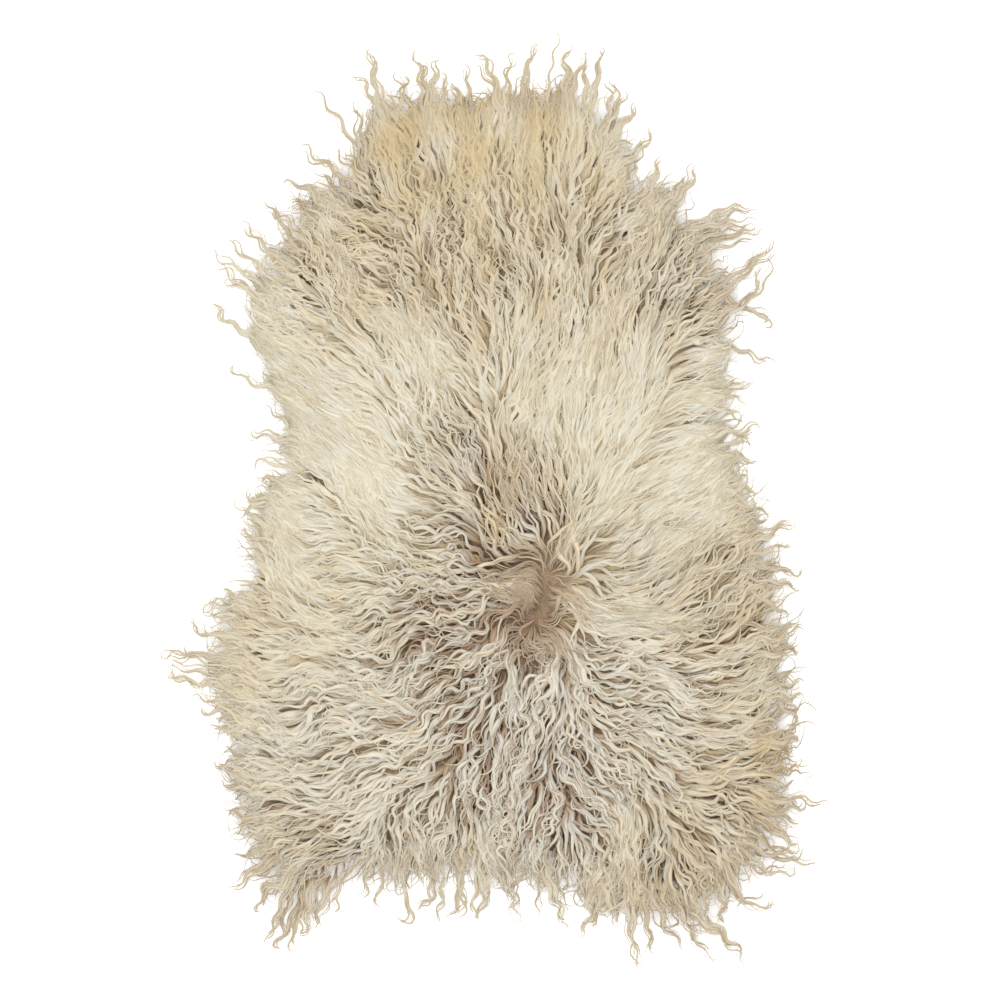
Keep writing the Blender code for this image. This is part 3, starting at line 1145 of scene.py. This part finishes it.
def tube_corners(strands, side, up):
    """The corners of each strand's rings, one at its crown and two below at its sides."""
    around = math.pi / 2 + np.arange(SIDES) * math.tau / SIDES
    across = side[:, :, None] * np.cos(around)[:, None]
    upward = up[:, :, None] * (np.sin(around) * strands.flat[:, None])[:, None, :, None]
    half = strands.widths[..., None, None] / (2 * math.cos(math.pi / 6))
    return strands.lines[:, :, None] + (across + upward) * half


def tube_faces(number, points):
    """The corners of the tubes' four-sided faces, and those of their first and last ends."""
    start = (np.arange(number) * points * SIDES)[:, None, None]
    base = start + (np.arange(points - 1) * SIDES)[:, None]
    here = np.arange(SIDES)
    after = (here + 1) % SIDES
    corners = (base + after, base + here, base + here + SIDES, base + after + SIDES)
    first = start[:, 0] + here
    last = start[:, 0] + (points - 1) * SIDES + here[::-1]
    return np.stack(corners, axis=-1).reshape(-1, 4), np.concatenate((first, last))


def soft_normals(strands, side, up, ahead, quads):
    """The normals of a strand's corners, which lean less to its sides than its faces do.

    Light goes on through wool, so a strand of it looks flatter and softer than it is round.
    """
    crown = unit(up + np.array(CROWN_UP))
    lean = strands.lean[:, None, None]
    left = unit(crown * np.cos(lean) - side * np.sin(lean))
    right = unit(crown * np.cos(lean) + side * np.sin(lean))
    outer = np.stack((crown, left, right), axis=2).reshape(-1, 3)
    under = np.repeat(-up.reshape(-1, 3), SIDES, axis=0)
    faces = outer[quads]
    faces[1::SIDES] = under[quads[1::SIDES]]
    ends = np.concatenate((-ahead[:, 0], ahead[:, -1]))
    return np.concatenate((faces.reshape(-1, 3), np.repeat(ends, SIDES, axis=0)))


def add_maps(data, strands):
    """Two maps: real millimetres along and across each strand, and all strands side by side."""
    number, points = strands.widths.shape
    shares, column, strand = strands.shares, np.arange(SIDES), np.arange(number)
    u = np.stack((column + 1, column, column, column + 1), axis=-1) / SIDES
    v = np.stack((shares[:-1], shares[:-1], shares[1:], shares[1:]), axis=-1)
    shape = (points - 1, SIDES, 4)
    sides = np.stack((np.broadcast_to(u, shape), np.broadcast_to(v[:, None], shape)), axis=-1)
    fibre_size = np.stack((strands.bold * MAP_WIDTH, strands.lengths), axis=-1) / MM
    fibre_start = strand[:, None] * np.array(MAPS_APART)
    # Cells of the map of all strands side by side, tall and narrow as the strands are.
    rows = max(1, round(math.sqrt(number / CELL_TALLNESS)))
    columns = math.ceil(number / rows)
    cell_size = np.array((1 / columns, 1 / rows))
    cells = np.stack((strand % columns, strand // columns), axis=-1)
    maps = (
        ("Fibre", fibre_size, fibre_start),
        ("OFBake", cell_size * [CELL_USED], (cells + CELL_MARGIN) * cell_size),
    )
    for title, size, start in maps:
        placed = [
            (uv.reshape(-1, 2) * size[:, None] + start[:, None]).reshape(-1, 2)
            for uv in (sides, FIRST_END, LAST_END)
        ]
        layer = data.uv_layers.new(name=title)
        layer.data.foreach_set("uv", np.concatenate(placed).astype(np.float32).ravel())


def mark(data, title, values):
    """Gives the mesh an attribute with these values, one for each of its points."""
    layer = data.attributes.new(title, "FLOAT", "POINT")
    layer.data.foreach_set("value", np.ascontiguousarray(values, dtype=np.float32).ravel())


def placed(name, data):
    piece = bpy.data.objects.new(name, data)
    bpy.context.scene.collection.objects.link(piece)
    return piece


def strand_mesh(name, strands, material):
    """One joined mesh of closed three-sided tapering tubes, one for each strand."""
    number, points = strands.widths.shape
    ahead = unit(np.gradient(strands.lines, axis=1))
    side = unit(np.cross(ahead, (0.0, 0.0, 1.0)))
    up = np.cross(side, ahead)
    corners = tube_corners(strands, side, up)
    quads, ends = tube_faces(number, points)
    starts = np.concatenate((np.arange(len(quads)) * 4, quads.size + np.arange(len(ends)) * SIDES))
    data = bpy.data.meshes.new(name)
    data.vertices.add(corners.size // 3)
    data.vertices.foreach_set("co", corners.astype(np.float32).ravel())
    data.loops.add(quads.size + ends.size)
    data.loops.foreach_set("vertex_index", np.concatenate((quads.ravel(), ends.ravel())))
    data.polygons.add(len(starts))
    data.polygons.foreach_set("loop_start", starts)
    data.update(calc_edges=True)
    data.validate()
    # The underside of a strand is flat, so that it doesn't darken the strand's sides.
    rounded = np.ones(len(starts), dtype=bool)
    rounded[1:len(quads):SIDES] = False
    data.polygons.foreach_set("use_smooth", rounded)
    data.materials.append(material)
    data.normals_split_custom_set(soft_normals(strands, side, up, ahead, quads))
    every = (number, points, SIDES)
    mark(data, "along", np.broadcast_to(strands.shares[:, None], every))
    # Painted shade: the two lower corners of each ring are marked, so that tan darkens the strand's
    # sides.
    mark(data, "side", np.broadcast_to((0.0, 1.0, 1.0), every))
    mark(data, "tone", np.broadcast_to(strands.tone[:, None, None], every))
    mark(data, "gold", np.broadcast_to(strands.gold()[..., None], every))
    mark(data, "brown", np.broadcast_to(strands.brown()[..., None], every))
    add_maps(data, strands)
    return placed(name, data)


# ---------------------------------------------------------------- materials

# Numbers of a colour mix node's inputs and output.
LOW, HIGH, MIXED = 6, 7, 2
COLOURS = {"data_type": "RGBA"}

# Painted shade: the warm tan that darkens the gaps between a strand's fibres, where the wool is
# pale and where it is brown, and how strongly it shows in those gaps.
PALE_SHADE_TAN = "#B9A57F"
BROWN_SHADE_TAN = "#8A6A49"
STREAK_SHADE = 0.7

# How much a strand's tone changes its brightness, and the brightness of a middling one.
TONE_STRENGTH = 0.09
BRIGHTNESS = 0.98

# A streak in a strand is this many times as long as wide. Noise of scale 1 has two to a unit.
STREAK_LENGTH = 14
STREAK_SCALE = 0.5


def colour(hexadecimal):
    """An sRGB hex colour as the linear colour that the shader takes."""
    parts = [int(hexadecimal[i:i + 2], 16) / 255 for i in (1, 3, 5)]
    linear = [p / 12.92 if p <= 0.04045 else ((p + 0.055) / 1.055) ** 2.4 for p in parts]
    return (*linear, 1.0)


def add_node(tree, kind, settings=None, values=None, links=None):
    """Adds a node: its settings, the values of its inputs and what is linked to them."""
    made = tree.nodes.new(kind)
    for name, value in (settings or {}).items():
        setattr(made, name, value)
    for name, value in (values or {}).items():
        made.inputs[name].default_value = value
    for name, source in (links or {}).items():
        tree.links.new(source, made.inputs[name])
    return made


def new_material(name):
    material = bpy.data.materials.new(name)
    material.use_nodes = True
    return material, material.node_tree


def give_surface(tree, base, light, height, bump, values):
    """Ends a material: a colour times a lightness, a bump and the shader's own values.

    Bump is its strength and its depth in metres.
    """
    shader = tree.nodes["Principled BSDF"]
    shown = add_node(
        tree, "ShaderNodeVectorMath", {"operation": "SCALE"}, {}, {0: base, "Scale": light},
    )
    tree.links.new(shown.outputs["Vector"], shader.inputs["Base Color"])
    strength, depth = bump
    raised = add_node(
        tree, "ShaderNodeBump", {}, {"Strength": strength, "Distance": depth}, {"Height": height},
    )
    tree.links.new(raised.outputs["Normal"], shader.inputs["Normal"])
    for name, value in values.items():
        shader.inputs[name].default_value = value


def wool_material(name, root, brown_root, body, brown_body, tip, gold, streak, side_shade):
    """Crimped sheep's wool, washed: soft, nearly matt, with a silky sheen along its fibres.

    It is dark at the root, off-white along its length and yellower where sun and weather have
    reached its tip. Streaks run along the strand, where the finer strands in it lie side by
    side: they are drawn as coarse as they show from above. Warm tan paints shade into the gaps
    between the streaks and onto the strand's sides.
    """
    material, tree = new_material(name)
    along, tone, golden, brown, side = [
        add_node(tree, "ShaderNodeAttribute", {"attribute_name": title}).outputs["Fac"]
        for title in ("along", "tone", "gold", "brown", "side")
    ]
    fibre = add_node(tree, "ShaderNodeUVMap", {"uv_map": "Fibre"}).outputs["UV"]
    across, lengthways = STREAK_SCALE / streak, STREAK_SCALE / (streak * STREAK_LENGTH)
    stretched = add_node(
        tree, "ShaderNodeMapping", {"vector_type": "POINT"}, {"Scale": (across, lengthways, 1.0)},
        {"Vector": fibre},
    ).outputs["Vector"]
    streaks = add_node(
        tree, "ShaderNodeTexNoise", {"noise_dimensions": "2D"},
        {"Scale": 1.0, "Detail": 1.5, "Roughness": 0.55}, {"Vector": stretched},
    ).outputs["Fac"]
    # Steps of what is known of each point: past the root, near the tip, at a side, in a streak.
    past_root, near_tip, shaded_side, gap = [
        add_node(
            tree, "ShaderNodeMapRange", {"interpolation_type": "SMOOTHSTEP"},
            {"From Min": none, "From Max": full}, {"Value": value},
        ).outputs["Result"]
        for value, none, full in (
            (along, 0.02, 0.5), (along, 0.35, 1.0), (side, 0.35, 1.0), (streaks, 0.54, 0.34),
        )
    ]
    # Painted shade: warm tan darkens the gaps between a strand's fibres and, more or less, its
    # sides.
    shades = [
        add_node(
            tree, "ShaderNodeMath", {"operation": "MULTIPLY"}, {1: strength}, {0: place},
        ).outputs["Value"]
        for strength, place in ((STREAK_SHADE, gap), (side_shade, shaded_side))
    ]
    shade = add_node(
        tree, "ShaderNodeMath", {"operation": "MAXIMUM"}, {}, dict(enumerate(shades)),
    ).outputs["Value"]
    plain_body, shown, shade_tan = [
        add_node(
            tree, "ShaderNodeMix", COLOURS, {LOW: colour(pale), HIGH: colour(dark)},
            {"Factor": brown},
        ).outputs[MIXED]
        for pale, dark in ((body, brown_body), (root, brown_root), (PALE_SHADE_TAN, BROWN_SHADE_TAN))
    ]
    golden_body = add_node(
        tree, "ShaderNodeMix", COLOURS, {HIGH: colour(gold)}, {"Factor": golden, LOW: plain_body},
    ).outputs[MIXED]
    golden_tip = add_node(
        tree, "ShaderNodeMix", COLOURS, {LOW: colour(tip), HIGH: colour(gold)},
        {"Factor": golden},
    ).outputs[MIXED]
    for factor, over in ((past_root, golden_body), (near_tip, golden_tip), (shade, shade_tan)):
        shown = add_node(
            tree, "ShaderNodeMix", COLOURS, {}, {"Factor": factor, LOW: shown, HIGH: over},
        ).outputs[MIXED]
    lightness = add_node(
        tree, "ShaderNodeMath", {"operation": "MULTIPLY_ADD"}, {1: TONE_STRENGTH, 2: BRIGHTNESS},
        {0: tone},
    ).outputs["Value"]
    give_surface(tree, shown, lightness, streaks, (0.8, 0.5 * MM), {
        "Roughness": 0.6, "IOR": 1.55, "Specular IOR Level": 0.2,
        "Sheen Weight": 0.15, "Sheen Roughness": 0.4,
    })
    return material


def underwool_material():
    """Matted underwool: short fine fibres, matt, brown where the fleece is brown, else paler."""
    material, tree = new_material("matted_underwool")
    brown = add_node(tree, "ShaderNodeAttribute", {"attribute_name": "brown"}).outputs["Fac"]
    flow = add_node(tree, "ShaderNodeAttribute", {"attribute_name": "flow"}).outputs["Vector"]
    base = add_node(
        tree, "ShaderNodeMix", COLOURS, {LOW: colour("#C1AA89"), HIGH: colour("#846956")},
        {"Factor": brown},
    ).outputs[MIXED]
    fibres = add_node(
        tree, "ShaderNodeTexNoise", {"noise_dimensions": "3D"},
        {"Scale": 1.0, "Detail": 4.0, "Roughness": 0.65, "Distortion": 0.4}, {"Vector": flow},
    ).outputs["Fac"]
    light = add_node(
        tree, "ShaderNodeMapRange", {},
        {"From Min": 0.3, "From Max": 0.72, "To Min": 0.6, "To Max": 1.3}, {"Value": fibres},
    ).outputs["Result"]
    values = {"Roughness": 0.9, "Specular IOR Level": 0.1}
    give_surface(tree, base, light, fibres, (0.8, 1.5 * MM), values)
    return material


def suede_material():
    """Tanned skin, flesh side: sueded by buffing, so matt, with a fine nap and pale flecks."""
    material, tree = new_material("tanned_suede")
    place = add_node(tree, "ShaderNodeTexCoord").outputs["Object"]
    nap, patches = [
        add_node(
            tree, "ShaderNodeTexNoise", {},
            {"Scale": 1 / size, "Detail": detail, "Roughness": 0.6}, {"Vector": place},
        ).outputs["Fac"]
        for size, detail in ((2.2 * MM, 3.0), (110 * MM, 5.0))
    ]
    base = add_node(
        tree, "ShaderNodeMix", COLOURS, {LOW: colour("#C4A983"), HIGH: colour("#E2CFB0")},
        {"Factor": patches},
    ).outputs[MIXED]
    light = add_node(
        tree, "ShaderNodeMapRange", {}, {"To Min": 0.78, "To Max": 1.16}, {"Value": nap},
    ).outputs["Result"]
    values = {"Roughness": 0.85, "Sheen Weight": 0.3}
    give_surface(tree, base, light, nap, (0.4, 0.2 * MM), values)
    return material


# ---------------------------------------------------------------- hide and underwool

# What lies no higher than this is the underside, and from the second height on it is wool.
# Points closer together than this are merged.
UNDERSIDE = 0.1 * MM
WOOL_START = 1 * MM
MERGE = 0.01 * MM

# Edges in the wool longer than these are halved, first the ones and then the others.
LONG_EDGES = (14 * MM, 9 * MM)

# The underwool comes about this far past the hide's edge.
UNDERWOOL_EDGE = 14 * MM

# Its top is at least this high, and what lies below it is at most this high, and raised a bit.
LEAST_TOP = 1.2 * MM
GREATEST_UNDER = 0.8 * MM
UNDER_LIFT = 0.4 * MM

# Its fibres run out from the whorl: this many to a radian, and each this long.
FIBRES_ROUND = 14
FIBRE_LENGTH = 25 * MM


def merged_copy():
    """A copy of the skin's solid as a bmesh with its loose triangles merged."""
    mesh = bmesh.new()
    mesh.from_mesh(skin_node.data)
    bmesh.ops.remove_doubles(mesh, verts=mesh.verts, dist=MERGE)
    return mesh


def finished(name, mesh, material):
    data = bpy.data.meshes.new(name)
    mesh.to_mesh(data)
    mesh.free()
    data.materials.clear()
    data.materials.append(material)
    data.shade_smooth()
    return placed(name, data)


def build_hide():
    """The tanned skin: the flat underside of the solid, as thick as the hide."""
    mesh = merged_copy()
    others = [f for f in mesh.faces if any(abs(v.co.z) >= UNDERSIDE for v in f.verts)]
    bmesh.ops.delete(mesh, geom=others, context="FACES")
    top = bmesh.ops.extrude_face_region(mesh, geom=list(mesh.faces))["geom"]
    raised = [part for part in top if isinstance(part, bmesh.types.BMVert)]
    bmesh.ops.translate(mesh, verts=raised, vec=(0, 0, HIDE_THICKNESS))
    bmesh.ops.recalc_face_normals(mesh, faces=mesh.faces)
    return finished("hide", mesh, suede_material())


def underwool_places(places):
    """Where the underwool's points go from where they are in the skin's solid."""
    plan, height = places[:, :2], places[:, 2]
    # Its edge keeps close to the hide's, under the fringe.
    over = np.maximum(-inside_hide(plan), 0)
    past = UNDERWOOL_EDGE * over / (over + UNDERWOOL_EDGE)
    _, reach = polar(plan)
    drawn_in = 1 - (over - past) / np.maximum(reach, TINY)
    lump = drift("lumps", plan) + drift("fine lumps", plan)
    top = np.maximum(under_top(plan) + lump * smooth(height / THICK_PILE), LEAST_TOP)
    under = np.minimum(height, GREATEST_UNDER) + UNDER_LIFT
    return plan * drawn_in[:, None], np.where(height > WOOL_START, top, under)


def build_underwool():
    """The matted underwool, deep between the locks: lumpy, and combed the way the wool lies."""
    mesh = merged_copy()
    for longest in LONG_EDGES:
        long_edges = [
            e for e in mesh.edges
            if e.calc_length() > longest and max(v.co.z for v in e.verts) > WOOL_START
        ]
        bmesh.ops.subdivide_edges(mesh, edges=long_edges, cuts=1)
        bmesh.ops.triangulate(mesh, faces=mesh.faces)
    plan, height = underwool_places(np.array([v.co for v in mesh.verts]))
    for vertex, place, z in zip(mesh.verts, plan, height):
        vertex.co = (*place, z)
    bmesh.ops.recalc_face_normals(mesh, faces=mesh.faces)
    piece = finished("underwool", mesh, underwool_material())
    places = np.array([v.co for v in piece.data.vertices])[:, :2]
    outward, distance = from_whorl(places)
    angle = polar(outward)[0] + drift("underwool fibres", places)
    flow = np.column_stack((heading(angle) * FIBRES_ROUND, distance / FIBRE_LENGTH))
    layer = piece.data.attributes.new("flow", "FLOAT_VECTOR", "POINT")
    layer.data.foreach_set("vector", flow.astype(np.float32).ravel())
    mark(piece.data, "brown", zone("brown", places))
    return piece


# ---------------------------------------------------------------- the fleece's layers

# Clumps with less swing than this are silky, the others crimped.
CRIMPED_WAVE = 0.5

# Where the arching hairs start: angles in radians and distances from the whorl's upper end.
ARCHING_HAIRS = 26
ARCHING_ANGLES = (-0.9, 1.3)
ARCHING_REACH = (32 * MM, 85 * MM)

# The fibres that start at the parting and at the seam below it.
# low end, high end, clumps, nearest, farthest
PARTING_CLUMPS = (
    (WHORL_LOW, WHORL_HIGH, 26, 0, 9 * MM),
    (WHORL_LOW, WHORL_HIGH, 16, 12 * MM, 28 * MM),
    (SEAM_FOOT, WHORL_LOW, 28, 0, 18 * MM),
)


def layer_of(name, roots, clumps, wool, aside=0.0):
    """The piece of this name, combed in its own style."""
    return strand_mesh(name, comb(roots, clumps, STYLES[name], aside), wool)


def inner_layers(soft_wool, inner_wool):
    """Broad soft bundles under the locks, and brown fibres deep in the wool."""
    roots = roots_over(spacing=16.5 * MM, inset=2 * MM)
    bundles = layer_of("soft_bundles", roots, roots, soft_wool)
    roots = roots_over(spacing=13 * MM, inset=20 * MM)
    roots = roots[dice.random(len(roots)) < zone("brown", roots) ** 2]
    return [bundles, layer_of("inner_fibres", roots, roots, inner_wool)]


def lock_layers(wool):
    """The silky locks, the crimped locks, and more where few of them cover the fleece."""
    clumps = fleece_roots(spacing=13.6 * MM)
    clumps = clumps[zone("wave", clumps) < CRIMPED_WAVE]
    silk = comb(*in_clumps(clumps, children=3, spread=6.5 * MM), STYLES["silky_locks"])
    left = silk.lines[:, 0, 0] < WHORL_HIGH[0]
    pieces = [
        strand_mesh("silky_locks_left", silk.part(left), wool),
        strand_mesh("silky_locks_right", silk.part(~left), wool),
    ]
    clumps = fleece_roots(spacing=15.4 * MM)
    clumps = clumps[zone("wave", clumps) >= CRIMPED_WAVE]
    locks = comb(*in_clumps(clumps, children=2, spread=7 * MM), STYLES["locks"])
    angle, _ = polar(locks.lines[:, 0, :2] - WHORL_HIGH)
    for name, start, end in LOCK_SECTORS:
        inside = (np.degrees(angle) - start) % 360 < (end - start) % 360
        pieces.append(strand_mesh(name, locks.part(inside), wool))
    bare = upstream(bare_places([silk, locks], spacing=12 * MM), length=46 * MM)
    roots, clumps = in_clumps(bare[inside_hide(bare) > 0], children=2, spread=6 * MM)
    return [*pieces, layer_of("covering_locks", roots, clumps, wool)]


def fringe_layers(tuft_wool, wool):
    """The fringe: its long tufts, shorter locks between them and fine hairs at their feet."""
    long_tufts = strand_mesh("tufts", tufts(), tuft_wool)
    clumps = edge_roots(spacing=14 * MM, outside=4 * MM, inside=34 * MM)
    roots, clumps = in_clumps(clumps, children=2, spread=6 * MM)
    fringe = layer_of("fringe", roots, clumps, tuft_wool)
    roots = edge_roots(spacing=9 * MM, outside=12 * MM, inside=12 * MM)
    return [long_tufts, fringe, layer_of("edge_fuzz", roots, roots, wool)]


def loose_layers(wool):
    """Long hairs that arch over the wool beside the whorl, and stray hairs on top of it all."""
    angle = dice.uniform(*ARCHING_ANGLES, ARCHING_HAIRS)
    reach = dice.uniform(*ARCHING_REACH, ARCHING_HAIRS)
    roots = WHORL_HIGH + heading(angle) * reach[:, None]
    arching = layer_of("arching_hairs", roots, roots, wool)
    roots = roots_over(spacing=27 * MM, inset=4 * MM)
    return [arching, layer_of("stray_hairs", roots, roots, wool)]


def build_fleece():
    """The layers of the wool, from the inside out, and last the fibres of the parting."""
    wools = {row[0]: wool_material(*row) for row in WOOLS}
    wool, tuft_wool = wools["crimped_wool"], wools["weathered_tufts"]
    pieces = inner_layers(wools["soft_inner_wool"], wools["brown_inner_wool"])
    pieces += lock_layers(wool)
    pieces += fringe_layers(tuft_wool, wool)
    pieces += loose_layers(wool)
    clumps = np.concatenate([parting_roots(*row) for row in PARTING_CLUMPS])
    roots, clumps = in_clumps(clumps, children=6, spread=3 * MM)
    aside = off_the_seam(roots)
    return [*pieces, layer_of("parting_fibres", roots, clumps, wools["parting_wool"], aside)]


# ---------------------------------------------------------------- floor, lights and camera

WHITE = (1, 1, 1, 1)
FLOOR_SIZE = 6.0
FLOOR_DROP = 0.3 * MM
FLOOR_GLOW = 0.16
SKY_STRENGTH = 1.135
LAMP_SIZE = 1.8
LAMP_POWER = 24
LAMP_PLACE = (-0.3, 0.4, 3.0)

# The photograph's frame is 1.2 m across, and its middle lies a little off the rug's.
FRAME_WIDTH = 1.2
CAMERA_PLACE = (0.0114, 0.0036, 5.0)
SENSOR = 36.0


def build_floor():
    mesh = bmesh.new()
    bmesh.ops.create_grid(mesh, x_segments=1, y_segments=1, size=FLOOR_SIZE)
    material, tree = new_material("pale_floor")
    # A light table: it fills the shadows that the photograph's white ground doesn't have.
    values = {
        "Base Color": WHITE, "Roughness": 0.9, "Emission Color": WHITE,
        "Emission Strength": FLOOR_GLOW,
    }
    for name, value in values.items():
        tree.nodes["Principled BSDF"].inputs[name].default_value = value
    floor = finished("floor", mesh, material)
    floor.location.z = -FLOOR_DROP


def build_lights():
    world = bpy.data.worlds.new("studio")
    bpy.context.scene.world = world
    world.use_nodes = True
    background = world.node_tree.nodes["Background"]
    background.inputs["Color"].default_value = WHITE
    background.inputs["Strength"].default_value = SKY_STRENGTH
    lamp = bpy.data.lights.new("softbox", "AREA")
    lamp.size = LAMP_SIZE
    lamp.energy = LAMP_POWER
    softbox = placed("softbox", lamp)
    softbox.location = LAMP_PLACE
    softbox.rotation_euler = (-softbox.location).to_track_quat("-Z", "Y").to_euler()


def build_camera():
    lens = bpy.data.cameras.new("camera")
    lens.sensor_width = SENSOR
    lens.lens = SENSOR * CAMERA_PLACE[2] / FRAME_WIDTH
    camera = placed("camera", lens)
    camera.location = CAMERA_PLACE
    bpy.context.scene.camera = camera


build_floor()
build_lights()
build_camera()
bpy.context.scene.view_settings.view_transform = "Standard"
hide = build_hide()
underwool = build_underwool()
fleece = build_fleece()
for piece in [hide, underwool, *fleece]:
    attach(piece, "root")
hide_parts("sheepskin")
